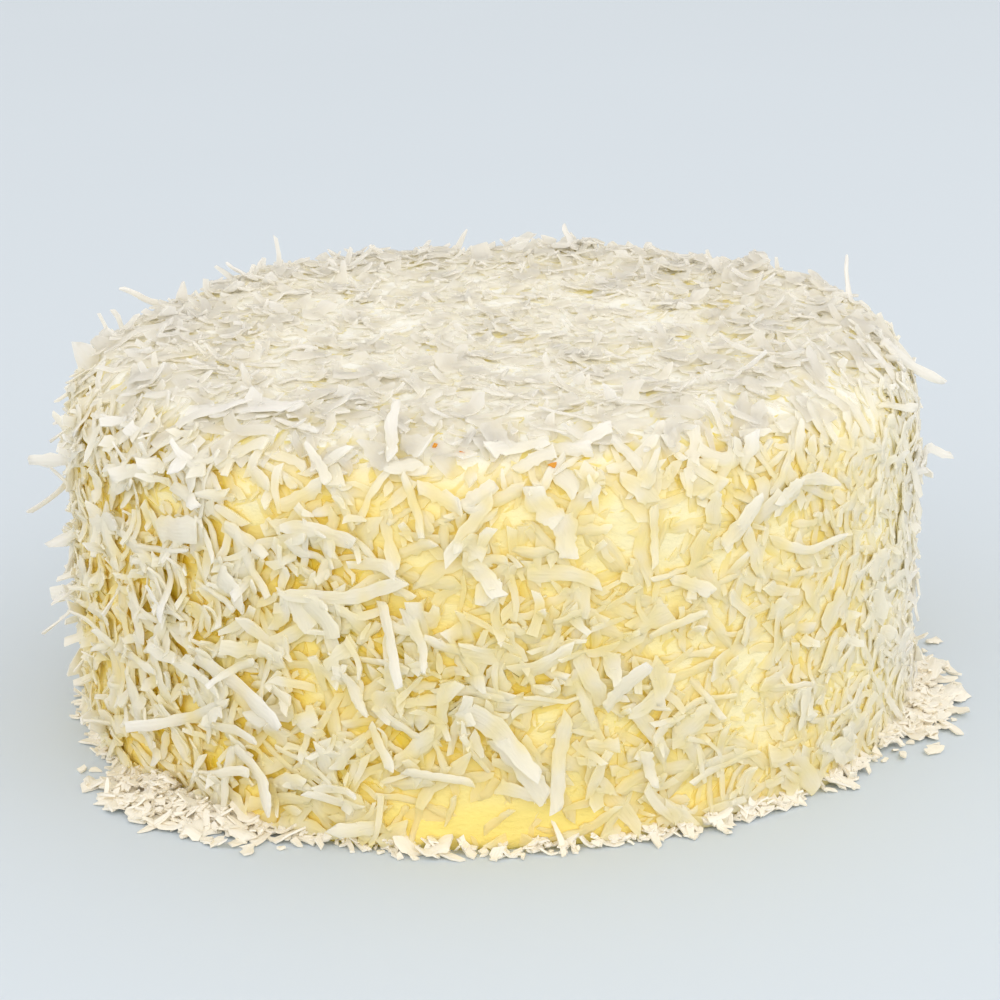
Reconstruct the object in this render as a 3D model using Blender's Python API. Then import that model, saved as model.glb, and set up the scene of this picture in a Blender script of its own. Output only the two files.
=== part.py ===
"""A round coconut cake: an uncut frosted cake with shreds of coconut pressed into its top, shoulder and side.

The cake stands on its flat underside. Its origin is the centre of that underside, +Z is up, and -Y is its
front. A place on the cake is given as an azimuth (0 is the front, 90 is +X) and a run, the distance along the
outline from the middle of the top. A heading of 0 is level, towards larger azimuths, and 90 is up the side or
inwards on the top. All sizes are in metres and all angles in degrees.
"""

import math
import random

import bmesh
import bpy
from mathutils import Matrix, Vector, noise
from mathutils.bvhtree import BVHTree

# The cake, measured to the middle of its coconut coat
CAKE_RADIUS = 0.105
CAKE_HEIGHT = 0.095
SHOULDER_RADIUS = 0.0215  # the rounding between the top and the side
CROWN = 0.0012  # how much higher the middle of the top is than its rim
FOOT_FLARE = 0.001  # how much the frosting spreads at the foot
FOOT_HEIGHT = 0.012

# Lengths along the outline: the flat top, the shoulder's quarter circle and the upright side
RIM = CAKE_RADIUS - SHOULDER_RADIUS
QUARTER = SHOULDER_RADIUS * math.pi / 2
SIDE = CAKE_HEIGHT - SHOULDER_RADIUS
OUTLINE = RIM + QUARTER + SIDE

# Unevenness of the coat: slow waves from the spreading knife, and crags the size of a heap of shreds
WAVE_LENGTH, WAVE_DEPTH = 0.046, 0.0016
CRAG_LENGTH, CRAG_DEPTH = 0.0075, 0.0044
WAVE_ORIGIN, CRAG_ORIGIN = Vector((3.0, 8.0, 1.0)), Vector((31.0, 17.0, 5.0))

# The body's net: a square grid turned into the disc of the top, with rings below it
TOP_CELLS = 16
SHOULDER_RINGS, SIDE_RINGS = 3, 8

# Shreds of coconut: flat strips cut from the nut, thick enough here to fuse to the coat
THICKNESS = 0.0011
LYING_CUTS, FOOT_CUTS = 2, 1  # cuts across a shred, which let it bend
TIP_SHARE = 0.5  # width at a tip, as a share of the full width
SUNK = 0.0004  # how deep a lying shred is pressed in
ROOT_SUNK = 0.0022  # how deep the root of a standing flake is pressed in
BEND = 0.14  # how far the middle of a shred bows to one side, as a share of its length
LIFT_START = -0.25  # where a shred starts to lift, from -0.5 at its lying end to 0.5 at its free end

LYING_TOP, LYING_SIDE = 24, 36
LYING_LENGTHS, LYING_WIDTHS, LYING_LIFTS = (0.018, 0.028), (0.0030, 0.0050), (0.001, 0.005)
STANDING_TOP, STANDING_SIDE = 46, 80
STANDING_LENGTHS, STANDING_WIDTHS, STANDING_LIFTS = (0.012, 0.020), (0.0030, 0.0050), (0.0015, 0.0048)
FOOT_CLEARANCE = 0.0015  # between the lowest shred on the side and the underside
LYING_MARGIN, STANDING_MARGIN = 0.008, 0.012  # kept free of the middles of scattered shreds above the foot
LYING_TURN, STANDING_TURN = 0, 70  # azimuth of the first shred of each spread

# Shreds lying flat round the foot, with a wider reach at the front left and the right
FOOT_SHREDS = 24
FOOT_LENGTHS, FOOT_REACHES = (0.014, 0.022), (0.002, 0.006)
FOOT_DRIFTS = ((-52, 26, 0.007), (78, 24, 0.006))  # azimuth, half width in degrees, further reach
FOOT_LIFT = 0.0005  # of a foot shred's underside above the cake's
FOOT_TURN = 50  # a foot shred points this much to either side of straight out, at most
FOOT_STEP = 0.35  # a foot shred is this share of their spacing out of step, at most

# The smooth band of frosting left bare low on the front: middle, half width in degrees and half height
BARE_AZIMUTH, BARE_RUN, BARE_HALF_ANGLE, BARE_HALF_RUN = 0, 0.184, 15, 0.008
SEED = 7

FROSTING_COLOUR, FROSTING_ROUGHNESS = (0.88, 0.72, 0.30, 1.0), 0.45
COCONUT_COLOUR, COCONUT_ROUGHNESS = (0.88, 0.84, 0.70, 1.0), 0.55

# Shreds that stand out from the outline: azimuth, run, heading, length, width, height of the free end
STRAY_SHREDS = (
    (-108, 0.091, -75, 0.022, 0.0036, 0.0080),
    (-131, 0.088, -110, 0.015, 0.0026, 0.0045),
    (-170, 0.086, -140, 0.015, 0.0030, 0.0035),
    (165, 0.086, -60, 0.014, 0.0036, 0.0045),
    (104, 0.092, -70, 0.016, 0.0022, 0.0075),
    (84, 0.106, -62, 0.022, 0.0024, 0.0065),
    (80, 0.129, -10, 0.017, 0.0024, 0.0070),
    (-74, 0.119, -165, 0.026, 0.0030, 0.0080),
    (-80, 0.129, -110, 0.017, 0.0024, 0.0090),
    (-78, 0.160, -120, 0.021, 0.0028, 0.0085),
)

# Shreds that show from a step away on the front of the cake: azimuth, run, heading, length, width, free end
FRONT_SHREDS = (
    (-43, 0.1235, 11, 0.015, 0.0060, 0.0012),
    (-59, 0.1290, 18, 0.017, 0.0047, 0.0022),
    (-19, 0.1320, 12, 0.0295, 0.0030, 0.0010),
    (-13, 0.1430, -76, 0.019, 0.0026, 0.0030),
    (-34, 0.1590, -24, 0.028, 0.0046, 0.0026),
    (-43, 0.1570, -13, 0.0245, 0.0028, 0.0018),
    (-44, 0.1690, -158, 0.034, 0.0026, 0.0040),
    (-32, 0.1790, -50, 0.017, 0.0040, 0.0030),
    (-22, 0.1190, -6, 0.018, 0.0034, 0.0012),
    (41, 0.1170, 5, 0.022, 0.0030, 0.0022),
    (31, 0.1215, 49, 0.014, 0.0038, 0.0024),
    (42, 0.1310, -10, 0.024, 0.0026, 0.0014),
    (7, 0.1720, -98, 0.023, 0.0032, 0.0024),
    (0, 0.1660, -45, 0.023, 0.0048, 0.0018),
    (15, 0.1550, 48, 0.014, 0.0038, 0.0026),
    (-39, 0.0910, 15, 0.028, 0.0042, 0.0016),
    (-14, 0.0930, 98, 0.017, 0.0030, 0.0026),
)


def outward_at(azimuth):
    """The level direction away from the cake's axis at an azimuth."""
    angle = math.radians(azimuth)
    return Vector((math.sin(angle), -math.cos(angle), 0.0))


def form_at(azimuth, run):
    """The point of the plain rounded drum at an azimuth and a run."""
    if run <= RIM:
        radius, height = run, CAKE_HEIGHT
    elif run <= RIM + QUARTER:
        turned = (run - RIM) / SHOULDER_RADIUS
        radius = RIM + SHOULDER_RADIUS * math.sin(turned)
        height = SIDE + SHOULDER_RADIUS * math.cos(turned)
    else:
        radius, height = CAKE_RADIUS, OUTLINE - run
    return outward_at(azimuth) * radius + Vector((0.0, 0.0, height))


def nearest_form(point):
    """The nearest point of the rounded drum, with its crown and flare, and the outward normal there."""
    radius = math.hypot(point.x, point.y)
    outward = Vector((point.x, point.y, 0.0)) / max(radius, 1e-9)
    if radius <= RIM and point.z > SIDE:
        crown = CROWN * (1 - (radius / RIM) ** 2)
        return outward * radius + Vector((0.0, 0.0, CAKE_HEIGHT + crown)), Vector((0.0, 0.0, 1.0))
    if point.z <= SIDE:
        flare = FOOT_FLARE * max(0.0, 1 - point.z / FOOT_HEIGHT) ** 2
        return outward * (CAKE_RADIUS + flare) + Vector((0.0, 0.0, point.z)), outward
    centre = outward * RIM + Vector((0.0, 0.0, SIDE))
    normal = (point - centre).normalized()
    return centre + normal * SHOULDER_RADIUS, normal


def relief(point):
    """Height of the uneven coat above the drum at a point of it."""
    wave = noise.noise(point / WAVE_LENGTH + WAVE_ORIGIN) * WAVE_DEPTH
    crag = noise.noise(point / CRAG_LENGTH + CRAG_ORIGIN) * CRAG_DEPTH
    return wave + crag


def disc_point(x, y):
    """A point of the square from -1 to 1 as a point of the unit disc, with its rim evenly spaced."""
    if abs(x) < 1e-6 and abs(y) < 1e-6:
        return 0.0, 0.0
    if abs(x) >= abs(y):
        radius, angle = x, math.pi / 4 * y / x
    else:
        radius, angle = y, math.pi / 2 - math.pi / 4 * x / y
    return radius * math.cos(angle), radius * math.sin(angle)


def ring_runs():
    """The runs of the rings below the top, from the shoulder to the foot."""
    shoulder = [RIM + QUARTER * (i + 1) / SHOULDER_RINGS for i in range(SHOULDER_RINGS)]
    side = [RIM + QUARTER + SIDE * (i + 1) / SIDE_RINGS for i in range(SIDE_RINGS)]
    return shoulder + side


def cake_body(material):
    """The cake as one closed solid: the disc of the top, its rim extruded down in rings, and a flat base."""
    bm = bmesh.new()
    bmesh.ops.create_grid(bm, x_segments=TOP_CELLS, y_segments=TOP_CELLS, size=1.0)
    for vert in bm.verts:
        x, y = disc_point(vert.co.x, vert.co.y)
        vert.co = Vector((x * RIM, y * RIM, CAKE_HEIGHT))
    rim_edges = [edge for edge in bm.edges if edge.is_boundary]
    for run in ring_runs():
        extruded = bmesh.ops.extrude_edge_only(bm, edges=rim_edges)["geom"]
        rim_edges = [item for item in extruded if isinstance(item, bmesh.types.BMEdge) and item.is_boundary]
        for vert in {vert for edge in rim_edges for vert in edge.verts}:
            azimuth = math.degrees(math.atan2(vert.co.x, -vert.co.y))
            vert.co = form_at(azimuth, run)
    bmesh.ops.contextual_create(bm, geom=rim_edges)
    for vert in bm.verts:
        on_form, normal = nearest_form(vert.co)
        vert.co = on_form + normal * relief(on_form)
    bmesh.ops.triangulate(bm, faces=bm.faces)
    bmesh.ops.recalc_face_normals(bm, faces=bm.faces)
    mesh = bpy.data.meshes.new("coconut_cake")
    bm.to_mesh(mesh)
    coat = BVHTree.FromBMesh(bm)
    bm.free()
    mesh.materials.append(material)
    return bpy.data.objects.new("coconut_cake", mesh), coat


def on_coat(coat, point):
    """The point of the uneven coat over or under a point near it, and the drum's outward normal there."""
    on_form, normal = nearest_form(point)
    start = on_form + normal * SHOULDER_RADIUS / 2
    hit = coat.ray_cast(start, -normal)[0]
    return (hit or on_form), normal


def strip(name, cuts, place, material):
    """A bar cut across into short lengths, with each corner moved to where place puts (along, across, up)."""
    bm = bmesh.new()
    bmesh.ops.create_cube(bm, size=1.0)
    if cuts:
        lengthwise = [edge for edge in bm.edges if abs(edge.verts[0].co.x - edge.verts[1].co.x) > 0.5]
        bmesh.ops.subdivide_edges(bm, edges=lengthwise, cuts=cuts, use_grid_fill=True)
    for vert in bm.verts:
        vert.co = place(*vert.co)
    bmesh.ops.triangulate(bm, faces=bm.faces)
    bmesh.ops.recalc_face_normals(bm, faces=bm.faces)
    mesh = bpy.data.meshes.new(name)
    bm.to_mesh(mesh)
    bm.free()
    mesh.materials.append(material)
    return bpy.data.objects.new(name, mesh)


def axes_on_coat(azimuth, normal, heading):
    """The directions along and across a shred that lies with a heading on a slope."""
    turn = math.radians(heading)
    level = Matrix.Rotation(math.pi / 2, 3, "Z") @ outward_at(azimuth)
    up_slope = normal.cross(level)
    along = level * math.cos(turn) + up_slope * math.sin(turn)
    return along, normal.cross(along)


def lying_shred(name, coat, material, azimuth, run, heading, length, width, free_end, bow=0.0):
    """A shred that follows the coat, with the end that it heads for lifted clear of it."""
    middle, normal = on_coat(coat, form_at(azimuth, run))
    along, across = axes_on_coat(azimuth, normal, heading)

    def place(x, y, z):
        share = 1 - (1 - TIP_SHARE) * (2 * x) ** 2
        sideways = y * width * share + bow * length * (1 - (2 * x) ** 2)
        ground, out = on_coat(coat, middle + along * (x * length) + across * sideways)
        lift = free_end * max(0.0, (x - LIFT_START) / (0.5 - LIFT_START)) ** 2
        corner = ground + out * (THICKNESS * (z + 0.5) - SUNK + lift)
        corner.z = max(corner.z, FOOT_CLEARANCE + THICKNESS * z)
        return corner

    return strip(name, LYING_CUTS, place, material)


def standing_flake(name, coat, material, azimuth, run, heading, length, width, free_end):
    """A short straight flake with its root sunk in the coat and its tip standing clear."""
    middle, normal = on_coat(coat, form_at(azimuth, run))
    along, across = axes_on_coat(azimuth, normal, heading)

    def place(x, y, z):
        share = TIP_SHARE + (1 - TIP_SHARE) * (0.5 - x)
        ground, out = on_coat(coat, middle + along * (x * length) + across * (y * width * share))
        rise = free_end * (x + 0.5) - ROOT_SUNK * (0.5 - x)
        return ground + out * (THICKNESS * (z + 0.5) + rise)

    return strip(name, 0, place, material)


def foot_shred(name, material, azimuth, heading, length, width, reach):
    """A shred that lies flat at the foot, with one end in the coat."""
    outward = outward_at(azimuth)
    along = Matrix.Rotation(math.radians(heading), 3, "Z") @ outward
    across = Vector((0.0, 0.0, 1.0)).cross(along)
    tip = outward * (CAKE_RADIUS + FOOT_FLARE + reach)

    def place(x, y, z):
        share = 1 - (1 - TIP_SHARE) * (2 * x) ** 2
        spot = tip + along * ((x - 0.5) * length) + across * (y * width * share)
        return spot + Vector((0.0, 0.0, FOOT_LIFT + THICKNESS * (z + 0.5)))

    return strip(name, FOOT_CUTS, place, material)


def is_bare(azimuth, run):
    """Whether a place lies in the smooth band low on the front."""
    turned = (azimuth + 180) % 360 - 180 - BARE_AZIMUTH
    return math.hypot(turned / BARE_HALF_ANGLE, (run - BARE_RUN) / BARE_HALF_RUN) < 1


def spread(top_count, side_count, margin, first_turn):
    """Places spread evenly by the golden angle over the top and then over the shoulder and side."""
    golden = 180 * (3 - math.sqrt(5))
    places = []
    for i in range(top_count):
        places.append((first_turn + i * golden, RIM * math.sqrt((i + 0.5) / top_count)))
    for i in range(side_count):
        run = RIM + (OUTLINE - margin - RIM) * (i + 0.5) / side_count
        places.append((first_turn + i * golden, run))
    return [(azimuth, run) for azimuth, run in places if not is_bare(azimuth, run)]


def scattered_shreds(coat, material, draw):
    """The shreds spread over the cake: lying ones first, then flakes that stand up between them."""
    pieces = []
    for i, (azimuth, run) in enumerate(spread(LYING_TOP, LYING_SIDE, LYING_MARGIN, LYING_TURN)):
        sizes = [draw.uniform(*span) for span in (LYING_LENGTHS, LYING_WIDTHS, LYING_LIFTS)]
        heading, bow = draw.uniform(0, 360), draw.uniform(-BEND, BEND)
        pieces.append(lying_shred(f"lying_{i}", coat, material, azimuth, run, heading, *sizes, bow))
    for i, (azimuth, run) in enumerate(spread(STANDING_TOP, STANDING_SIDE, STANDING_MARGIN, STANDING_TURN)):
        sizes = [draw.uniform(*span) for span in (STANDING_LENGTHS, STANDING_WIDTHS, STANDING_LIFTS)]
        heading = draw.uniform(0, 360)
        pieces.append(standing_flake(f"standing_{i}", coat, material, azimuth, run, heading, *sizes))
    return pieces


def foot_shreds(material, draw):
    """The shreds round the foot, evenly spaced and reaching further in the two drifts."""
    pieces = []
    for i in range(FOOT_SHREDS):
        azimuth = (i + draw.uniform(-FOOT_STEP, FOOT_STEP)) * 360 / FOOT_SHREDS
        reach = draw.uniform(*FOOT_REACHES)
        for middle, half_width, further in FOOT_DRIFTS:
            turned = abs((azimuth - middle + 180) % 360 - 180)
            reach += further * max(0.0, 1 - turned / half_width)
        heading, length = draw.uniform(-FOOT_TURN, FOOT_TURN), draw.uniform(*FOOT_LENGTHS)
        width = draw.uniform(*LYING_WIDTHS)
        pieces.append(foot_shred(f"foot_{i}", material, azimuth, heading, length, width, reach))
    return pieces


def chosen_shreds(coat, material):
    """The shreds whose places are given one by one."""
    pieces = []
    for i, values in enumerate(STRAY_SHREDS + FRONT_SHREDS):
        bow = BEND if i % 2 else -BEND / 2
        pieces.append(lying_shred(f"chosen_{i}", coat, material, *values, bow))
    return pieces


def fuse(body, pieces):
    """Joins the pieces to the body with one union, applies it and removes them."""
    shreds = bpy.data.collections.new("shreds")
    bpy.context.scene.collection.children.link(shreds)
    for piece in pieces:
        shreds.objects.link(piece)
    union = body.modifiers.new("Fuse", "BOOLEAN")
    union.operation = "UNION"
    union.operand_type = "COLLECTION"
    union.collection = shreds
    union.solver = "MANIFOLD"
    bpy.context.view_layer.update()
    graph = bpy.context.evaluated_depsgraph_get()
    fused = bpy.data.meshes.new_from_object(body.evaluated_get(graph), depsgraph=graph)
    body.modifiers.clear()
    body.data = fused
    for piece in pieces:
        bpy.data.objects.remove(piece, do_unlink=True)
    bpy.data.collections.remove(shreds)


def keep_largest_shell(body):
    """Drops loose scraps and fills sealed hollows, which fusing can leave, by keeping the outermost shell."""
    bm = bmesh.new()
    bm.from_mesh(body.data)
    unseen = set(bm.verts)
    shells = []
    while unseen:
        shell, front = set(), [unseen.pop()]
        while front:
            vert = front.pop()
            shell.add(vert)
            near = {edge.other_vert(vert) for edge in vert.link_edges} & unseen
            unseen -= near
            front += near
        shells.append(shell)
    largest = max(shells, key=len)
    bmesh.ops.delete(bm, geom=[vert for vert in bm.verts if vert not in largest], context="VERTS")
    bm.to_mesh(body.data)
    bm.free()


def plain_material(name, colour, roughness):
    """A material of one colour that isn't metal."""
    material = bpy.data.materials.new(name)
    material.use_nodes = True
    shader = material.node_tree.nodes["Principled BSDF"]
    shader.inputs["Base Color"].default_value = colour
    shader.inputs["Roughness"].default_value = roughness
    shader.inputs["Metallic"].default_value = 0.0
    return material


def main():
    for leftover in list(bpy.data.objects):
        bpy.data.objects.remove(leftover, do_unlink=True)
    draw = random.Random(SEED)
    frosting = plain_material("frosting", FROSTING_COLOUR, FROSTING_ROUGHNESS)
    coconut = plain_material("coconut", COCONUT_COLOUR, COCONUT_ROUGHNESS)
    cake, coat = cake_body(frosting)
    bpy.context.scene.collection.objects.link(cake)
    pieces = chosen_shreds(coat, coconut) + scattered_shreds(coat, coconut, draw) + foot_shreds(coconut, draw)
    fuse(cake, pieces)
    keep_largest_shell(cake)


main()
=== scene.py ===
"""The looks of a round coconut cake: butter-yellow frosting under a shaggy coat of coconut shreds.

The cake stands on z = 0 with its axis on z, +Z up and -Y to the front. A place on it is an azimuth (0 is
the front, 90 is +X) and a run, the distance along the outline from the middle of the top. A heading of 0 is
level, towards larger azimuths, and 90 is up the side or inwards on the top. Sizes are in metres, angles in
degrees.
"""

import logging
import math
from dataclasses import dataclass, field
from enum import Enum

import bpy
import numpy as np
from mathutils import Matrix, Vector
from mathutils.bvhtree import BVHTree


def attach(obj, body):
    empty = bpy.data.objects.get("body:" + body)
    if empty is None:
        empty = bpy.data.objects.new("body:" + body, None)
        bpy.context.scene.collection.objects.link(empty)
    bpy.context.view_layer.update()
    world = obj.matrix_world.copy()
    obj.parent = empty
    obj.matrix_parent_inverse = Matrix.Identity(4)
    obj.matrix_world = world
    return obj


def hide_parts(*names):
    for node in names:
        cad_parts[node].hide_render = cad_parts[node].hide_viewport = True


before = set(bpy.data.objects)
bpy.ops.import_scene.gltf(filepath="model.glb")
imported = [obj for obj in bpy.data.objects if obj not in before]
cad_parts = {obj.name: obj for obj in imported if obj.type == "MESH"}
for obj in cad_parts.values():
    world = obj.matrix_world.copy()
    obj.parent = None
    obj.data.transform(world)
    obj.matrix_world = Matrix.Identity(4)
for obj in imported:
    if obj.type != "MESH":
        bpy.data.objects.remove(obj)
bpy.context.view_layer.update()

NODE = "coconut_cake"
BODY = "root"
SEED = 11
MM = 0.001
SHARP_FOLD = 80
UP = np.array((0.0, 0.0, 1.0))
Array = np.ndarray
Chart = tuple[Array, Array]
Colour = tuple[float, float, float, float]
Rows = tuple[tuple[float, ...], ...]
log = logging.getLogger("coconut_cake")


# Shreds that show one by one, in mm and degrees: azimuth, run, heading, length, width, how far the free end
# stands out, bow
FRONT_SHREDS = (
    (-41, 115, -11, 12, 3.2, 1.0, 0.10),
    (-59, 129, 18, 17, 4.7, 2.2, 0.16),
    (-43, 123.5, 11, 15, 6.0, 1.2, 0.05),
    (-38, 124, -60, 11, 1.8, 1.4, 0.20),
    (-59, 136, -52, 9, 3.3, 1.6, 0.10),
    (-46, 129, 11, 22, 1.4, 1.4, -0.12),
    (-32, 123, -24, 12.5, 3.1, 1.0, 0.14),
    (-22, 119, -6, 18, 3.3, 1.2, 0.10),
    (-19, 132, 12, 29.5, 3.0, 1.0, -0.05),
    (-13, 143, -76, 19, 2.6, 3.0, -0.06),
    (-10, 142, -72, 14, 2.6, 1.0, 0.10),
    (-45, 138, -91, 14, 2.1, 1.5, 0.08),
    (-37, 137, -22, 13, 1.4, 1.2, 0.18),
    (-34, 135, -46, 10, 5.4, 1.0, 0.05),
    (-34, 159, -24, 28, 4.6, 2.6, 0.12),
    (-43, 157, -13, 24.5, 2.8, 1.8, 0.15),
    (-54, 161, 5, 20, 1.9, 1.6, 0.12),
    (-59, 159, -109, 7, 1.7, 1.4, 0.10),
    (-18, 156, -62, 11, 2.7, 1.2, 0.10),
    (-38, 170, 4, 26, 2.3, 2.2, 0.16),
    (-44, 169, -158, 34, 2.6, 4.0, 0.10),
    (-15, 168, -66, 11.5, 2.5, 1.2, 0.10),
    (-32, 179, -50, 17, 4.0, 3.0, 0.06),
    (-37, 183, -106, 20, 1.9, 2.0, 0.14),
    (-38, 181, 13, 21, 2.1, 2.0, 0.12),
    (-44, 187, -134, 14, 1.2, 2.4, 0.10),
    (-2, 127, -46, 11.5, 3.7, 1.0, 0.10),
    (5.5, 112, -57, 10, 5.2, 0.8, 0.05),
    (8, 119, -80, 10, 4.8, 0.6, 0.05),
    (19, 121, -92, 14, 2.0, 1.0, 0.05),
    (38, 117, 25, 9, 2.7, 0.8, 0.10),
    (44, 117, -17, 14, 2.7, 1.4, 0.15),
    (31, 121.5, 49, 14, 3.8, 2.4, 0.10),
    (42, 131, -10, 24, 2.2, 1.4, -0.06),
    (24, 134, -25, 11, 2.9, 0.8, 0.06),
    (22, 143, 15, 14, 2.0, 0.8, 0.12),
    (15, 155, 48, 14, 3.8, 2.6, 0.12),
    (26, 162, -55, 13, 1.8, 1.0, 0.10),
    (0, 166, -45, 23, 4.8, 1.8, 0.08),
    (2, 173, -54, 18, 4.5, 1.0, 0.10),
    (7, 172, -98, 23, 3.2, 2.4, -0.08),
    (2, 179, -15, 11, 3.1, 1.0, 0.10),
    (-8, 175, -10, 16, 2.2, 1.2, 0.10),
    (18, 176, -77, 9, 2.7, 1.0, 0.06),
    (-43, 94, 41, 19, 4.1, 1.5, 0.10),
    (-34, 88, -11, 15, 3.6, 1.2, 0.14),
    (-39, 91, 15, 28, 4.2, 1.6, 0.10),
    (-28, 94, -17, 14, 2.0, 1.0, 0.10),
    (-14, 93, 98, 17, 2.8, 2.6, 0.06),
    (-23, 103, -48, 12, 2.2, 1.0, 0.12),
    (-7, 109, -26, 11, 3.5, 0.8, 0.08),
    (-2, 109, 32, 9, 3.5, 0.8, 0.08),
    (-67, 53, 61, 12, 1.7, 1.0, 0.10),
    (3, 97, 8, 13, 3.8, 0.8, 0.08),
    (9, 98.5, -14, 12, 3.6, 0.8, 0.08),
    (5, 101, 22, 10, 3.2, 0.8, 0.06),
    (13, 96.5, 28, 11, 3.4, 0.9, 0.10),
    (17, 101, -64, 10, 2.6, 0.8, 0.08),
)

# Toasted flecks, in the same terms
TOASTED_FLECKS = (
    (7.2, 103.0, 20, 1.5, 1.4, 0.1, 0.0),
    (-7.9, 96.5, 70, 1.2, 0.9, 0.1, 0.0),
    (-4.3, 98.4, -30, 1.3, 0.8, 0.1, 0.0),
)

# Shreds whose free ends stand clear of the outline, in the same terms, and how far they are turned on edge
STRAY_SHREDS = (
    (-110, 92, -41, 12, 3.0, 9.0, 0.25, 25),
    (-131, 88, -110, 13, 3.0, 4.5, 0.10, 30),
    (-170, 86, -140, 12, 2.2, 2.6, 0.08, 0),
    (165, 86, -60, 12, 3.6, 4.5, 0.08, 25),
    (105, 95, 15, 11, 2.4, 8.5, 0.10, 0),
    (83, 106, -58, 22, 2.8, 6.5, -0.22, 35),
    (80, 129, -10, 17, 2.6, 7.5, 0.16, 10),
    (-74, 119, -158, 26, 3.6, 9.0, 0.12, 0),
    (-75, 131, 150, 22, 1.5, 6.0, 0.04, 0),
    (-80, 129, -105, 17, 2.6, 10.0, 0.08, 45),
    (-78, 160, -118, 21, 2.8, 9.5, 0.06, 45),
)


def mesh_object(name: str, mesh: bpy.types.Mesh) -> bpy.types.Object:
    """Puts a mesh into the scene as a new object.

    Args:
        name: the object's name.
        mesh: its mesh.
    Returns:
        The object, at the origin.
    """
    obj = bpy.data.objects.new(name, mesh)
    bpy.context.scene.collection.objects.link(obj)
    return obj


def keep_values(mesh: bpy.types.Mesh, name: str, values: Array) -> None:
    """Keeps one number a vertex on a mesh, for its material.

    Args:
        mesh: the mesh.
        name: what the material knows them by.
        values: the numbers.
    """
    layer = mesh.attributes.new(name, "FLOAT", "POINT")
    layer.data.foreach_set("value", values.astype(np.float32))


@dataclass(frozen=True)
class Swell:
    """Something that is strongest at one azimuth and fades to both sides of it."""

    azimuth: float
    spread: float
    strength: float

    def at(self, azimuth: Array) -> Array:
        """How strong it is at some azimuths."""
        return self.strength * np.exp(-(((azimuth - self.azimuth) / self.spread) ** 2))


@dataclass(frozen=True)
class CakeForm:
    """The smooth drum that the tops of the shreds reach, with a rounded shoulder."""

    radius: float = 0.1062
    height: float = 0.0968
    shoulder: float = 0.0223
    clear_of_floor: float = 1.2 * MM

    @property
    def rim(self) -> float:
        """Radius of the flat top, where the shoulder starts."""
        return self.radius - self.shoulder

    @property
    def quarter(self) -> float:
        """Length of the shoulder along the outline."""
        return self.shoulder * math.pi / 2

    @property
    def side(self) -> float:
        """Height of the upright side."""
        return self.height - self.shoulder

    @property
    def outline(self) -> float:
        """Length of the outline from the middle of the top to the foot."""
        return self.rim + self.quarter + self.side

    def at(self, azimuth: Array, run: Array) -> Array:
        """Points of the form.

        Args:
            azimuth: angles round the cake.
            run: distances along the outline.
        Returns:
            The points, one row each.
        """
        turned = np.clip((run - self.rim) / self.shoulder, 0, math.pi / 2)
        radius = np.minimum(run, self.rim) + self.shoulder * np.sin(turned)
        down = np.maximum(run - self.rim - self.quarter, 0)
        z = self.side + self.shoulder * np.cos(turned) - down
        angle = np.radians(azimuth)
        return np.stack((radius * np.sin(angle), -radius * np.cos(angle), z), axis=-1)

    def too_low(self, lines: Array) -> Array:
        """How much each line of points has to rise to stay clear of the floor."""
        return np.maximum(0, self.clear_of_floor - lines[..., 2].min(axis=1))

    def nearest(self, points: Array) -> tuple[Array, Array, Array, Array]:
        """The nearest points of the form.

        Args:
            points: places near it, one row each.
        Returns:
            The points on the form, its outward normals there, their azimuths and their runs.
        """
        x, y, z = points[..., 0], points[..., 1], points[..., 2]
        radius = np.maximum(np.hypot(x, y), 1e-9)
        aside = np.maximum(radius - self.rim, 0)
        above = np.maximum(z - self.side, 0)
        flat = (aside == 0) & (above > 0)
        turned = np.where(flat, 0, np.where(above == 0, math.pi / 2, np.arctan2(aside, above)))
        reach = np.where(flat, radius, self.rim + self.shoulder * np.sin(turned))
        height = np.where(above == 0, z, self.side + self.shoulder * np.cos(turned))
        on_form = np.stack((x / radius * reach, y / radius * reach, height), axis=-1)
        sine = np.sin(turned)
        normals = np.stack((x / radius * sine, y / radius * sine, np.cos(turned)), axis=-1)
        azimuth = np.degrees(np.arctan2(x, -y))
        down = np.where(above == 0, self.side - z, 0)
        run = np.where(flat, radius, self.rim + self.shoulder * turned + down)
        return on_form, normals, azimuth, run


@dataclass(frozen=True)
class FloorForm:
    """The level surface round the foot, as a form that shreds can lie on."""

    def at(self, azimuth: Array, run: Array) -> Array:
        """Points of the floor at an azimuth and a distance from the cake's axis."""
        angle = np.radians(azimuth)
        return np.stack((run * np.sin(angle), -run * np.cos(angle), np.zeros_like(run)), axis=-1)

    def too_low(self, lines: Array) -> Array:
        """How much each line of points has to rise: not at all, as it lies on the floor."""
        return np.zeros(len(lines))

    def nearest(self, points: Array) -> tuple[Array, Array, Array, Array]:
        """The points of the floor under some places.

        Args:
            points: the places, one row each.
        Returns:
            The points below them, the normals there, their azimuths and their distances from the axis.
        """
        x, y = points[..., 0], points[..., 1]
        on_floor = np.stack((x, y, np.zeros_like(x)), axis=-1)
        normals = np.broadcast_to(UP, on_floor.shape)
        return on_floor, normals, np.degrees(np.arctan2(x, -y)), np.hypot(x, y)


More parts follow.
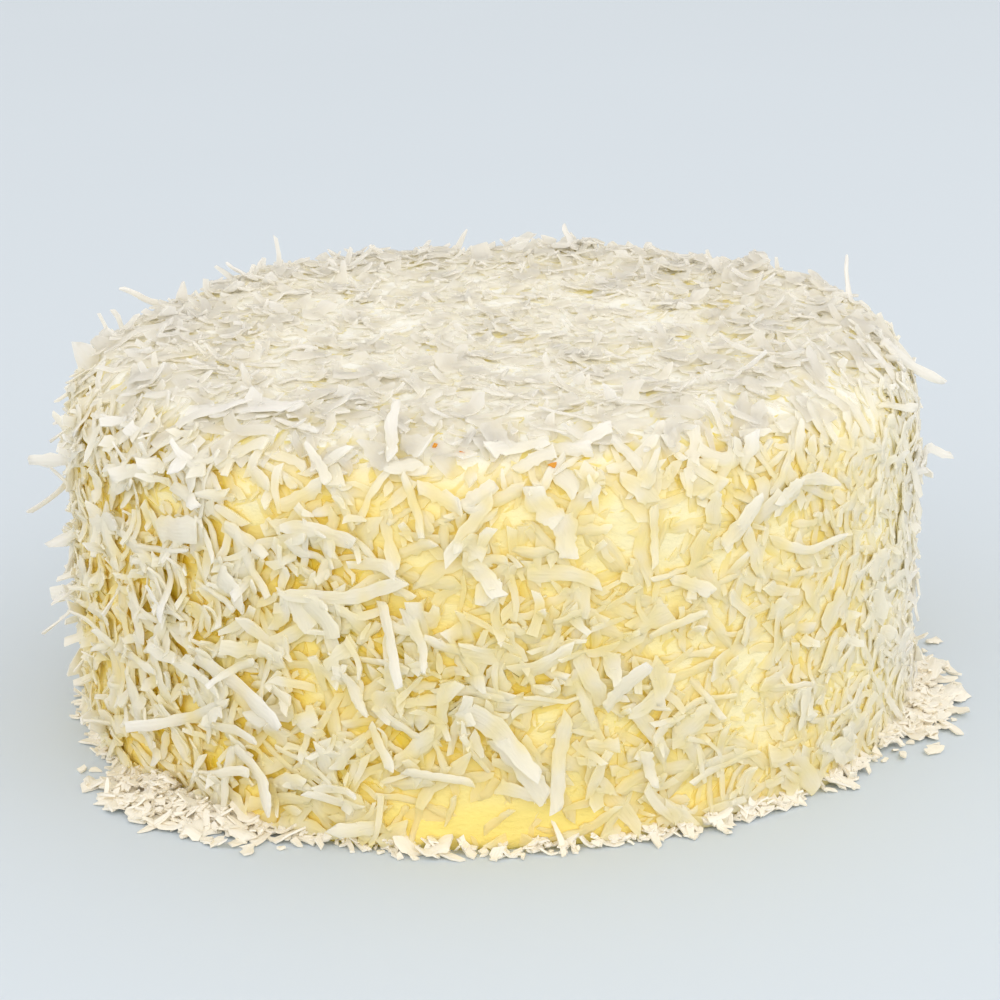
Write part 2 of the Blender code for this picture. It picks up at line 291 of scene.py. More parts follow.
@dataclass
class HeightGrid:
    """Heights above a form, kept on a square grid over a flat chart of it."""

    low: tuple[float, float]
    high: tuple[float, float]
    cell: float = 0.7 * MM
    heights: Array = field(init=False)

    def __post_init__(self) -> None:
        """Makes the empty grid."""
        counts = [max(2, math.ceil((b - a) / self.cell)) for a, b in zip(self.low, self.high)]
        self.heights = np.zeros(counts)

    def centres(self) -> Chart:
        """The chart places of the middles of all cells."""
        spots = [a + self.cell * (np.arange(n) + 0.5) for a, n in zip(self.low, self.heights.shape)]
        return np.meshgrid(*spots, indexing="ij")

    def index(self, u: Array, v: Array) -> Chart:
        """The cells that hold some chart places, the nearest ones for places off the chart.

        Args:
            u: first chart coordinates.
            v: second chart coordinates.
        Returns:
            The cells' two indices.
        """
        cells = [
            np.clip(((w - a) / self.cell).astype(int), 0, n - 1)
            for w, a, n in zip((u, v), self.low, self.heights.shape)
        ]
        return cells[0], cells[1]

    def read(self, u: Array, v: Array) -> Array:
        """The heights of the cells that hold some chart places."""
        return self.heights[self.index(u, v)]

    def between(self, values: Array, u: Array, v: Array) -> Array:
        """Values kept on this grid, read between its cells.

        Args:
            values: one value a cell.
            u: first chart coordinates.
            v: second chart coordinates.
        Returns:
            The values at those places.
        """
        spots = [
            np.clip((w - a) / self.cell - 0.5, 0, n - 1.001)
            for w, a, n in zip((u, v), self.low, values.shape)
        ]
        i, j = (w.astype(int) for w in spots)
        a, b = spots[0] - i, spots[1] - j
        near = values[i, j] * (1 - a) + values[i + 1, j] * a
        far = values[i, j + 1] * (1 - a) + values[i + 1, j + 1] * a
        return near * (1 - b) + far * b

    def softened(self, reach: float, wraps: bool) -> Array:
        """The heights evened out.

        Args:
            reach: how far they are evened out.
            wraps: whether the first axis closes on itself.
        Returns:
            The softer heights.
        """
        soft = self.heights
        for _ in range(max(1, round(2 * (reach / self.cell) ** 2))):
            soft = np.pad(soft, ((1, 1), (0, 0)), mode="wrap" if wraps else "edge")
            soft = (soft[:-2] + 2 * soft[1:-1] + soft[2:]) / 4
            soft = np.pad(soft, ((0, 0), (1, 1)), mode="edge")
            soft = (soft[:, :-2] + 2 * soft[:, 1:-1] + soft[:, 2:]) / 4
        return soft

    def pile(self, u: Array, v: Array, tops: Array, most: float) -> None:
        """Raises the heights to the tops of what is laid down.

        Args:
            u: first chart coordinates of spots on it.
            v: second chart coordinates of the same spots.
            tops: its height at them.
            most: the most that one shred raises what is under it, as a raised end is pushed down again.
        """
        spots = self.index(u, v)
        np.maximum.at(self.heights, spots, np.minimum(tops, self.heights[spots] + most))


@dataclass
class CakeHeap:
    """What lies on the cake: how high the frosting and the shreds reach above the form, or lie below it."""

    form: CakeForm
    bed_depth: float = 4 * MM
    # fine coconut at the right, and partly painted light: it whitens the frosting and the shreds on the far
    # right, where the light falls brighter
    fine_and_painted_light_at_right: tuple[Swell, Swell] = (Swell(82, 25, 3.6 * MM), Swell(35, 32, 0.8 * MM))
    fine_at_left: Swell = Swell(-65, 40, 2.4 * MM)
    grids: tuple[HeightGrid, HeightGrid] = field(init=False)
    frosting: list[Array] = field(init=False)
    level: list[Array] = field(init=False)

    def __post_init__(self) -> None:
        """Makes the chart of the top and the chart of the side."""
        reach, around = self.form.radius, math.pi * self.form.radius
        self.grids = (
            HeightGrid((-reach, -reach), (reach, reach)),
            HeightGrid((-around, self.form.rim), (around, self.form.outline)),
        )

    def rest_on(self, frosting: bpy.types.Object) -> None:
        """Takes the heights of the frosting, found by looking straight onto it from outside.

        Args:
            frosting: the finished frosting.
        """
        tree = BVHTree.FromObject(frosting, bpy.context.evaluated_depsgraph_get())
        clear = self.form.shoulder / 2
        x, y = self.grids[0].centres()
        above = np.stack((x, y, np.full_like(x, self.form.height)), axis=-1)
        arc, run = self.grids[1].centres()
        beside = self.form.at(np.degrees(arc / self.form.radius), run)
        for grid, spots in zip(self.grids, (above, beside)):
            on_form, normals, _, _ = self.form.nearest(spots)
            starts = (on_form + normals * clear).reshape(-1, 3).tolist()
            ways = (-normals).reshape(-1, 3).tolist()
            depths = [tree.ray_cast(a, b, 3 * clear)[3] or clear for a, b in zip(starts, ways)]
            grid.heights[:] = clear - np.array(depths).reshape(grid.heights.shape)
        self.frosting = [grid.heights.copy() for grid in self.grids]

    def spots(self, on_form: Array, azimuth: Array, run: Array) -> tuple[Chart, Chart]:
        """Where some points of the form lie on the two charts."""
        return (on_form[..., 0], on_form[..., 1]), (np.radians(azimuth) * self.form.radius, run)

    def share(self, run: Array) -> Array:
        """How much the chart of the side counts: it takes over from the top's on the shoulder."""
        return np.clip(((run - self.form.rim) / self.form.quarter - 0.2) / 0.4, 0, 1)

    def mixed(self, layers: list[Array], on_form: Array, azimuth: Array, run: Array) -> Array:
        """Values kept on the two charts, read at some points of the form.

        Args:
            layers: the values on the top's chart and on the side's.
            on_form: the points.
            azimuth: their azimuths.
            run: their runs.
        Returns:
            The values there.
        """
        top, side = self.spots(on_form, azimuth, run)
        upper = self.grids[0].between(layers[0], *top)
        lower = self.grids[1].between(layers[1], *side)
        share = self.share(run)
        return upper * (1 - share) + lower * share

    def read(self, on_form: Array, azimuth: Array, run: Array) -> Array:
        """How high the heap is at some points of the form.

        Args:
            on_form: the points.
            azimuth: their azimuths.
            run: their runs.
        Returns:
            The heights there.
        """
        top, side = self.spots(on_form, azimuth, run)
        upper, lower = self.grids[0].read(*top), self.grids[1].read(*side)
        share = self.share(run)
        return upper * (1 - share) + lower * share

    def bed(self, run: Array) -> Array:
        """How much a place belongs to the top, where fine coconut lies thick: it ends on the shoulder."""
        past = run - self.form.rim - 0.25 * self.form.quarter
        return np.clip(1.0 - past / (0.45 * self.form.quarter), 0, 1)

    def powder(self, azimuth: Array, run: Array) -> Array:
        """How much fine coconut lies between the frosting and the shreds.

        Args:
            azimuth: azimuths.
            run: runs.
        Returns:
            The depth of it: a thick bed on top, some high up at the left, and some at the far right, which is
                partly fine coconut and partly painted light that whitens the side where the light falls
                brighter.
        """
        top = self.bed(run)
        high = np.clip(1 - (run - self.form.rim) / (1.8 * self.form.quarter), 0, 1)
        side = sum(swell.at(azimuth) for swell in self.fine_and_painted_light_at_right) + self.fine_at_left.at(azimuth) * high
        return self.bed_depth * top + side * (1 - top)

    def above(self, points: Array) -> Array:
        """How high some places are above the frosting, with the bed of fine coconut counted in.

        Args:
            points: the places, one row each.
        Returns:
            Their heights.
        """
        on_form, normals, azimuth, run = self.form.nearest(points)
        height = ((points - on_form) * normals).sum(axis=-1)
        return height - self.mixed(self.frosting, on_form, azimuth, run) + self.powder(azimuth, run)

    def pile(self, on_form: Array, azimuth: Array, run: Array, tops: Array, most: float) -> None:
        """Raises the heap to the tops of what is laid on it.

        Args:
            on_form: points of the form under what is laid down.
            azimuth: their azimuths.
            run: their runs.
            tops: how high it reaches there.
            most: the most that it raises the heap.
        """
        top, side = self.spots(on_form, azimuth, run)
        reaches = run < self.form.rim + 0.8 * self.form.quarter, run > self.form.rim
        for grid, spots, here in zip(self.grids, (top, side), reaches):
            grid.pile(spots[0][here], spots[1][here], tops[here], most)

    def rise(self, top: float, side: float, right: float, reach: float) -> list[Array]:
        """Lets the frosting, or the bed of fine coconut, rise round the shreds that were pressed into it.

        Args:
            top: how far it rises on top, as a share of the evened-out heap.
            side: how far it rises on the side.
            right: how much further it rises right of the front.
            reach: how far the heap is evened out.
        Returns:
            How far it rises, on the two charts.
        """
        rises = []
        arc, run = self.grids[1].centres()
        azimuth = np.degrees(arc / self.form.radius)
        pressed = side + Swell(35, 55, right).at(azimuth)
        bed = self.bed(run)
        shares = (np.full(self.grids[0].heights.shape, top), top * bed + pressed * (1 - bed))
        for index, (grid, share) in enumerate(zip(self.grids, shares)):
            soft = grid.softened(reach, wraps=index == 1)
            rises.append(np.maximum(0, soft - self.frosting[index]) * share)
            self.frosting[index] += rises[index]
            grid.heights = np.maximum(grid.heights, self.frosting[index])
        return rises

    def settle(self, reach: float) -> None:
        """Keeps the evened-out level of the finished heap."""
        self.level = [grid.softened(reach, wraps=index == 1) for index, grid in enumerate(self.grids)]

    def depth(self, points: Array) -> Array:
        """How deep some places lie under the evened-out level of the heap.

        Args:
            points: the places, one row each.
        Returns:
            Their depths.
        """
        on_form, normals, azimuth, run = self.form.nearest(points)
        height = ((points - on_form) * normals).sum(axis=-1)
        return self.mixed(self.level, on_form, azimuth, run) - height


@dataclass
class FloorHeap:
    """What lies on the floor round the foot. The foot itself is a steep slope that shreds lean on."""

    foot: float
    reach: float = 0.03
    slope: float = 1.4
    steepest: float = 0.012
    clear_of_frosting: float = 4 * MM
    grid: HeightGrid = field(init=False)
    bare: Array = field(init=False)

    def __post_init__(self) -> None:
        """Makes the chart, with the slope of the foot in it."""
        edge = self.foot + self.reach
        self.grid = HeightGrid((-edge, -edge), (edge, edge))
        inside = self.foot - np.hypot(*self.grid.centres())
        self.grid.heights[:] = np.clip(inside * self.slope, 0, self.steepest)
        self.bare = self.grid.heights.copy()

    def read(self, on_form: Array, azimuth: Array, run: Array) -> Array:
        """How high the heap is at some points of the floor."""
        return self.grid.read(on_form[..., 0], on_form[..., 1])

    def above(self, points: Array) -> Array:
        """How high some places are above frosting that lies so far down that it doesn't tint anything."""
        return points[:, 2] - self.bare[self.grid.index(points[:, 0], points[:, 1])] + self.clear_of_frosting

    def pile(self, on_form: Array, azimuth: Array, run: Array, tops: Array, most: float) -> None:
        """Raises the heap to the tops of what is laid on it, by no more than most."""
        self.grid.pile(on_form[:, 0], on_form[:, 1], tops, most)

    def depth(self, points: Array) -> Array:
        """How deep some places lie in the heap: it is so thin that nothing does."""
        return np.zeros(len(points))


@dataclass(frozen=True)
class ShredCut:
    """How one kind of shred is cut and bent: the spans of its sizes, and how many faces it has."""

    stations: int
    corners: int
    length: tuple[float, float]
    width: tuple[float, float]
    thickness: tuple[float, float]
    blunt: float = 0.88
    ragged: float = 0.17
    bow: float = 0.13
    curl: float = 0.09
    lift: float = 1.0 * MM
    tilt: float = 11.0
    twist: float = 24.0
    sunk: tuple[float, float] = (0.0, 0.15 * MM)


class ShredKind(Enum):
    """The kinds of shred on the cake."""

    PRESSED = ShredCut(
        stations=4,
        corners=4,
        length=(5 * MM, 14 * MM),
        width=(1.6 * MM, 4.0 * MM),
        thickness=(0.4 * MM, 0.6 * MM),
        lift=0.0,
        curl=0.0,
        tilt=7,
        twist=9,
        sunk=(0.2 * MM, 0.55 * MM),
    )
    RIBBON = ShredCut(
        stations=7,
        corners=6,
        length=(7 * MM, 19 * MM),
        width=(1.5 * MM, 3.8 * MM),
        thickness=(0.45 * MM, 0.75 * MM),
        bow=0.2,
        ragged=0.21,
    )
    FINE = ShredCut(
        stations=4,
        corners=4,
        length=(4 * MM, 13 * MM),
        width=(1.1 * MM, 2.6 * MM),
        thickness=(0.4 * MM, 0.6 * MM),
        bow=0.26,
        curl=0.14,
    )
    FLAKE = ShredCut(
        stations=6,
        corners=6,
        length=(6 * MM, 13 * MM),
        width=(3.2 * MM, 5.4 * MM),
        thickness=(0.45 * MM, 0.7 * MM),
        ragged=0.2,
        bow=0.06,
    )
    CRUMB = ShredCut(
        stations=2,
        corners=4,
        length=(1.5 * MM, 4 * MM),
        width=(0.8 * MM, 2.2 * MM),
        thickness=(0.35 * MM, 0.6 * MM),
        lift=0.2 * MM,
    )
    CHOSEN = ShredCut(
        stations=12,
        corners=6,
        length=(10 * MM, 24 * MM),
        width=(1.7 * MM, 3.9 * MM),
        thickness=(0.55 * MM, 0.85 * MM),
        ragged=0.13,
        tilt=8,
    )


@dataclass
class ShredBatch:
    """Shreds of one kind that are laid down together, one value a shred in each field."""

    azimuth: Array
    run: Array
    heading: Array
    length: Array
    width: Array
    thickness: Array
    bow: Array
    curl: Array
    lift: Array
    tilt: Array
    twist: Array
    hook: Array
    flare: Array
    flex: Array
    sunk: Array
    tone: Array

    @classmethod
    def drawn(cls, cut: ShredCut, azimuth: Array, run: Array, draw: np.random.Generator) -> "ShredBatch":
        """Draws the sizes and bends of shreds whose places are known.

        Args:
            cut: how they are cut.
            azimuth: their azimuths.
            run: their runs.
            draw: the source of random numbers.
        Returns:
            The batch.
        """
        n = len(azimuth)
        return cls(
            azimuth=azimuth,
            run=run,
            heading=draw.uniform(0, 360, n),
            length=cut.length[0] + (cut.length[1] - cut.length[0]) * draw.random(n) ** 1.5,
            width=cut.width[0] + (cut.width[1] - cut.width[0]) * draw.random(n) ** 1.4,
            thickness=draw.uniform(*cut.thickness, n),
            bow=(draw.normal(0, cut.bow, n) * np.where(draw.random(n) < 0.1, 2.4, 1.0)).clip(-0.5, 0.5),
            curl=draw.normal(0.0, cut.curl, n).clip(-0.2, 0.3),
            lift=draw.exponential(cut.lift, n).clip(0, 6 * MM),
            tilt=draw.normal(0, cut.tilt, n).clip(-60, 60),
            twist=draw.normal(0, cut.twist, n).clip(-80, 80),
            hook=np.where(draw.random(n) < 0.2, draw.uniform(-1.3, 1.3, n), 0.0),
            flare=draw.uniform(-0.28, 0.28, n),
            flex=draw.uniform(0.5, 1.0, n),
            sunk=draw.uniform(*cut.sunk, n),
            tone=draw.random(n),
        )

    @classmethod
    def chosen(cls, cut: ShredCut, rows: Rows, draw: np.random.Generator) -> "ShredBatch":
        """Makes the shreds of a table.

        Args:
            cut: how they are cut.
            rows: azimuth, run, heading, length, width, how far the free end stands out and bow, with sizes
                in mm, and for some also how far they are turned on edge.
            draw: the source of random numbers for the rest.
        Returns:
            The batch.
        """
        azimuth, run, heading, length, width, lift, bow, *on_edge = np.array(rows).T
        batch = cls.drawn(cut, azimuth, run * MM, draw)
        batch.heading, batch.bow = heading, bow
        batch.length, batch.width, batch.lift = length * MM, width * MM, lift * MM
        batch.curl, batch.hook = batch.curl * 0.3, batch.hook * 0
        batch.tone = 0.6 + 0.4 * batch.tone
        batch.tilt = batch.tilt + sum(on_edge)
        return batch

    def loosened(self, loft: Array) -> "ShredBatch":
        """Makes shreds stand out more, or less, from what they lie on.

        Args:
            loft: how much more, one factor a shred.
        Returns:
            The same batch.
        """
        for name in ("curl", "lift", "tilt", "twist"):
            setattr(self, name, getattr(self, name) * loft)
        self.sunk = self.sunk + 0.9 * MM * np.clip(0.85 - loft, 0, 1)
        return self

    def __len__(self) -> int:
        """How many shreds the batch has."""
        return len(self.azimuth)


@dataclass
class ShredPiece:
    """A piece of the scene that gathers the meshes of many shreds of one kind."""

    name: str
    cut: ShredCut
    draw: np.random.Generator
    # How much of the highest bump under it lifts a stiff shred, and how many thicknesses its middle is up
    propped_up: float = 0.55
    middle_above: float = 0.42
    off_floor: float = 0.15 * MM
    most_rise: float = 0.55 * MM
    verts: list[Array] = field(default_factory=list)
    tones: list[Array] = field(default_factory=list)
    fibres: list[Array] = field(default_factory=list)

    def section(self) -> Array:
        """The corners of a shred's cross-section, as shares of its width and its thickness."""
        if self.cut.corners == 4:
            return np.array(((-0.5, -0.5), (0.5, -0.5), (0.5, 0.5), (-0.5, 0.5)))
        return np.array(((-0.5, 0.0), (-0.33, -0.5), (0.33, -0.5), (0.5, 0.0), (0.33, 0.5), (-0.33, 0.5)))

    def lay(self, batch: ShredBatch, form: CakeForm | FloorForm, heap: CakeHeap | FloorHeap) -> None:
        """Lays a batch of shreds on the heap, each at rest on what is under it, and raises the heap.

        Args:
            batch: the shreds.
            form: the form that they lie on.
            heap: what already lies on it.
        """
        t = np.linspace(-0.5, 0.5, self.cut.stations + 1)[None, :]
        middle, normal, _, _ = form.nearest(form.at(batch.azimuth, batch.run))
        angle, turn = np.radians(batch.azimuth)[:, None], np.radians(batch.heading)[:, None]
        level = np.concatenate((np.cos(angle), np.sin(angle), np.zeros_like(angle)), axis=1)
        along = level * np.cos(turn) + np.cross(normal, level) * np.sin(turn)
        across = np.cross(normal, along)
        length = batch.length[:, None]
        wiggle = self.draw.normal(0, 0.022, (len(batch), 1)) * np.sin(2 * math.pi * (t + batch.tone[:, None]))
        x = length * t
        hook = batch.hook[:, None] * np.maximum(0, t - 0.1) ** 2
        y = length * (batch.bow[:, None] * (0.25 - t**2) + wiggle + hook)
        line = middle[:, None] + along[:, None] * x[..., None] + across[:, None] * y[..., None]
        line[..., 2] += form.too_low(line)[:, None]
        half = batch.width[:, None] / 2
        lines = [line + across[:, None] * (side * half)[..., None] for side in (-1, 0, 1)]
        ground = np.maximum.reduce([self._ground(points, form, heap) for points in lines])
        height = self._rest(ground, t, batch) - batch.sunk[:, None]
        tilt = np.radians(batch.tilt[:, None] + batch.twist[:, None] * t)
        height = height + np.abs(np.sin(tilt)) * half * 0.7
        on_form, normals, _, _ = form.nearest(line)
        spine = on_form + normals * height[..., None]
        ways = np.gradient(spine, axis=1)
        ways /= np.linalg.norm(ways, axis=2, keepdims=True)
        sides = np.cross(normals, ways)
        sides /= np.linalg.norm(sides, axis=2, keepdims=True)
        ups = np.cross(ways, sides)
        flat = sides * np.cos(tilt)[..., None] + ups * np.sin(tilt)[..., None]
        thick = ups * np.cos(tilt)[..., None] - sides * np.sin(tilt)[..., None]
        self._skin(batch, t, spine, ways, flat, thick, x)
        self._raise(batch, spine, flat, form, heap)

    def _ground(self, points: Array, form: CakeForm | FloorForm, heap: CakeHeap | FloorHeap) -> Array:
        """How high the heap is under some points."""
        on_form, _, azimuth, run = form.nearest(points)
        return heap.read(on_form, azimuth, run)

    def _rest(self, ground: Array, t: Array, batch: ShredBatch) -> Array:
        """How high shreds come to rest: a stiff one spans the hollows, a limp one sinks into them.

        Args:
            ground: the heap under each station.
            t: the stations, from -0.5 to 0.5.
            batch: the shreds.
        Returns:
            The height of each station's middle.
        """
        mean = ground.mean(axis=1, keepdims=True)
        slope = ((ground - mean) * t).sum(axis=1, keepdims=True) / (t**2).sum()
        straight = mean + slope * t
        straight = straight + self.propped_up * np.max(ground - straight, axis=1, keepdims=True)
        soft = ground.copy()
        for _ in range(2):
            padded = np.pad(soft, ((0, 0), (1, 1)), mode="edge")
            soft = (padded[:, :-2] + 2 * padded[:, 1:-1] + padded[:, 2:]) / 4
        limp = batch.flex[:, None]
        height = straight * (1 - limp) + soft * limp
        length = batch.length[:, None]
        curl = batch.curl[:, None] * length * (4 * t**2 - 0.35)
        height = height + np.maximum(curl, -0.25 * batch.thickness[:, None])
        height = height + batch.lift[:, None] * np.maximum(0, (t + 0.2) / 0.7) ** 1.6
        return height + self.middle_above * batch.thickness[:, None]

    def _skin(
        self, batch: ShredBatch, t: Array, spine: Array, ways: Array, flat: Array, thick: Array, x: Array
    ) -> None:
        """Makes the corners of the shreds round their spines and keeps them.

        Args:
            batch: the shreds.
            t: the stations, from -0.5 to 0.5.
            spine: the middles of the stations.
            ways: the directions along.
            flat: the directions across.
            thick: the directions through the thickness.
            x: distances of the stations along the shreds.
        """
        section = self.section()
        n, stations, corners = len(batch), t.shape[1], len(section)
        blunt = self.draw.random((n, 2)) < self.cut.blunt
        tips = np.where(blunt, self.draw.uniform(0.6, 1.0, (n, 2)), self.draw.uniform(0.22, 0.55, (n, 2)))
        powers = np.where(blunt, self.draw.uniform(5, 12, (n, 2)), self.draw.uniform(1.6, 4, (n, 2)))
        share = np.where(t < 0, tips[:, :1], tips[:, 1:])
        power = np.where(t < 0, powers[:, :1], powers[:, 1:])
        taper = 1 - (1 - share) * np.abs(2 * t) ** power
        rough = 1 + self.draw.normal(0, self.cut.ragged, (n, stations, 2)).clip(-0.4, 0.4)
        taper = taper * (1 + 2 * batch.flare[:, None] * t)
        edge = np.where(section[None, None, :, 0] < 0, rough[..., :1], rough[..., 1:])
        cup = self.draw.normal(0, 0.16, (n, 1, 1)) * (section[:, 0] ** 2 * 4 - 0.5)
        wide = batch.width[:, None, None] * taper[..., None] * edge * section[:, 0]
        deep = batch.thickness[:, None, None] * section[:, 1] + cup * batch.width[:, None, None] * 0.5
        skew = self.draw.uniform(-1.1, 1.1, (n, 2))
        lean = np.zeros((n, stations, 1))
        lean[:, 0, 0], lean[:, -1, 0] = skew[:, 0], skew[:, 1]
        step = (batch.length / (stations - 1))[:, None, None]
        shift = np.clip(lean * wide, -0.6 * step, 0.6 * step)
        points = (
            spine[:, :, None]
            + flat[:, :, None] * wide[..., None]
            + thick[:, :, None] * deep[..., None]
            + ways[:, :, None] * shift[..., None]
        )
        sunk = self.off_floor - points[..., 2].min(axis=(1, 2))
        points[..., 2] += np.maximum(0, sunk)[:, None, None]
        self.verts.append(points)
        self.tones.append(np.broadcast_to(batch.tone[:, None, None], (n, stations, corners)))
        along = np.broadcast_to(x[..., None], (n, stations, corners))
        self.fibres.append(np.stack((along, wide + batch.tone[:, None, None]), axis=-1))

    def _raise(
        self,
        batch: ShredBatch,
        spine: Array,
        flat: Array,
        form: CakeForm | FloorForm,
        heap: CakeHeap | FloorHeap,
    ) -> None:
        """Raises the heap to the upper faces of the shreds, looked at in close steps along and across.

        Args:
            batch: the shreds.
            spine: the middles of their stations.
            flat: the directions across.
            form: the form that they lie on.
            heap: the heap.
        """
        steps = max(4, math.ceil(self.cut.length[1] / (0.6 * MM)))
        place = np.linspace(0, self.cut.stations, steps)
        low = np.minimum(place.astype(int), self.cut.stations - 1)
        part = (place - low)[None, :, None]
        line = spine[:, low] * (1 - part) + spine[:, low + 1] * part
        aside = flat[:, low]
        for side in (-0.4, -0.13, 0.13, 0.4):
            spots = line + aside * (side * batch.width)[:, None, None]
            on_form, normals, azimuth, run = form.nearest(spots)
            tops = ((spots - on_form) * normals).sum(axis=-1) + batch.thickness[:, None] / 2
            rows = on_form.reshape(-1, 3), azimuth.ravel(), run.ravel(), tops.ravel()
            heap.pile(*rows, most=self.most_rise)

    def finish(self, heap: CakeHeap | FloorHeap, material: bpy.types.Material) -> bpy.types.Object:
        """Joins all shreds that were laid into one mesh.

        Args:
            heap: the finished heap that they lie in.
            material: its finish.
        Returns:
            The finished piece.
        """
        verts = np.concatenate(self.verts)
        count, stations, corners, _ = verts.shape
        station, corner = np.meshgrid(np.arange(stations - 1), np.arange(corners), indexing="ij")
        beside = (corner + 1) % corners
        ring = station * corners
        further = ring + corners
        quads = np.stack((ring + corner, ring + beside, further + beside, further + corner), axis=-1)
        quads = quads.reshape(-1, 4)
        caps = np.stack((np.arange(corners)[::-1], (stations - 1) * corners + np.arange(corners)))
        each = stations * corners
        starts = (np.arange(count) * each)[:, None]
        loops = np.concatenate((quads.ravel(), caps.ravel()))
        sizes = np.concatenate((np.full(len(quads), 4), np.full(2, corners)))
        mesh = bpy.data.meshes.new(self.name)
        mesh.vertices.add(count * each)
        mesh.vertices.foreach_set("co", verts.ravel())
        all_loops = (loops[None, :] + starts).ravel()
        all_sizes = np.tile(sizes, count)
        mesh.loops.add(len(all_loops))
        mesh.loops.foreach_set("vertex_index", all_loops)
        mesh.polygons.add(len(all_sizes))
        mesh.polygons.foreach_set("loop_start", np.concatenate(((0,), np.cumsum(all_sizes)[:-1])))
        mesh.update(calc_edges=True)
        points = verts.reshape(-1, 3)
        tones = np.concatenate(self.tones).ravel()
        for name, values in (("above", heap.above(points)), ("tone", tones), ("deep", heap.depth(points))):
            keep_values(mesh, name, values)
        fibre = mesh.uv_layers.new(name="Fibre")
        places = np.concatenate(self.fibres).reshape(-1, 2)[all_loops]
        fibre.data.foreach_set("uv", places.ravel().astype(np.float32))
        mesh.polygons.foreach_set("use_smooth", np.tile(np.arange(len(sizes)) < len(quads), count))
        mesh.set_sharp_from_angle(angle=math.radians(SHARP_FOLD))
        mesh.materials.append(material)
        mesh.validate()
        triangles = count * (2 * len(quads) + 2 * (corners - 2))
        log.info("%s: %d shreds, %d triangles", self.name, count, triangles)
        return mesh_object(self.name, mesh)


def srgb(red: float, green: float, blue: float) -> Colour:
    """A colour given in the 0 to 255 steps of a screen.

    Args:
        red: its red.
        green: its green.
        blue: its blue.
    Returns:
        The same colour as linear light.
    """
    steps = [c / 255 for c in (red, green, blue)]
    linear = [c / 12.92 if c <= 0.04045 else ((c + 0.055) / 1.055) ** 2.4 for c in steps]
    return linear[0], linear[1], linear[2], 1.0


class Nodes:
    """A material's node tree, with short ways to add nodes to it."""

    def __init__(self, name: str) -> None:
        """Starts a material with a Principled shader.

        Args:
            name: what the material is called.
        """
        self.material = bpy.data.materials.new(name)
        self.material.use_nodes = True
        self.tree = self.material.node_tree
        self.shader = self.tree.nodes["Principled BSDF"]

    def add(self, kind: str, **settings: object) -> bpy.types.Node:
        """Adds a node.

        Args:
            kind: its type, without the leading ShaderNode.
            settings: properties of the node, and input values as a dict named values.
        Returns:
            The node.
        """
        node = self.tree.nodes.new("ShaderNode" + kind)
        for socket, value in settings.pop("values", {}).items():
            node.inputs[socket].default_value = value
        for key, value in settings.items():
            setattr(node, key, value)
        return node

    def link(self, out: bpy.types.NodeSocket, into: bpy.types.NodeSocket) -> None:
        """Joins two sockets."""
        self.tree.links.new(out, into)

    def mix(self, factor: bpy.types.NodeSocket, low: object, high: object) -> bpy.types.NodeSocket:
        """Mixes two colours by a factor.

        Args:
            factor: the socket with the share of the second.
            low: the first, a colour or a socket.
            high: the second, a colour or a socket.
        Returns:
            The socket with the mixed colour.
        """
        node = self.add("Mix", data_type="RGBA")
        self.link(factor, node.inputs["Factor"])
        for socket, value in ((node.inputs[6], low), (node.inputs[7], high)):
            if isinstance(value, bpy.types.NodeSocket):
                self.link(value, socket)
            else:
                socket.default_value = value
        return node.outputs[2]

    def ramp(self, value: bpy.types.NodeSocket, low: float, high: float) -> bpy.types.NodeSocket:
        """Spreads a value from 0 to 1 between two limits.

        Args:
            value: the value.
            low: where it becomes 0.
            high: where it becomes 1.
        Returns:
            The socket with the spread value.
        """
        node = self.add("MapRange", values={"From Min": low, "From Max": high})
        self.link(value, node.inputs["Value"])
        return node.outputs["Result"]

    def bump(self, height: bpy.types.NodeSocket, distance: float, strength: float) -> None:
        """Bumps the shader's surface by a height.

        Args:
            height: the socket with the height.
            distance: how high a height of 1 is.
            strength: how much of it shows.
        """
        node = self.add("Bump", values={"Strength": strength, "Distance": distance})
        self.link(height, node.inputs["Height"])
        self.link(node.outputs["Normal"], self.shader.inputs["Normal"])

    def value(self, name: str) -> bpy.types.NodeSocket:
        """A number that the mesh keeps for each vertex."""
        return self.add("Attribute", attribute_name=name).outputs["Fac"]

    def maths(self, operation: str, *values: object) -> bpy.types.NodeSocket:
        """Calculates with numbers and sockets.

        Args:
            operation: what is done with them.
            values: the numbers and sockets.
        Returns:
            The socket with the result.
        """
        node = self.add("Math", operation=operation)
        for socket, value in zip(node.inputs, values):
            if isinstance(value, bpy.types.NodeSocket):
                self.link(value, socket)
            else:
                socket.default_value = value
        return node.outputs[0]

    def set(self, **values: object) -> None:
        """Sets the shader's own sockets, named with _ for a space."""
        for key, value in values.items():
            self.shader.inputs[key.replace("_", " ")].default_value = value


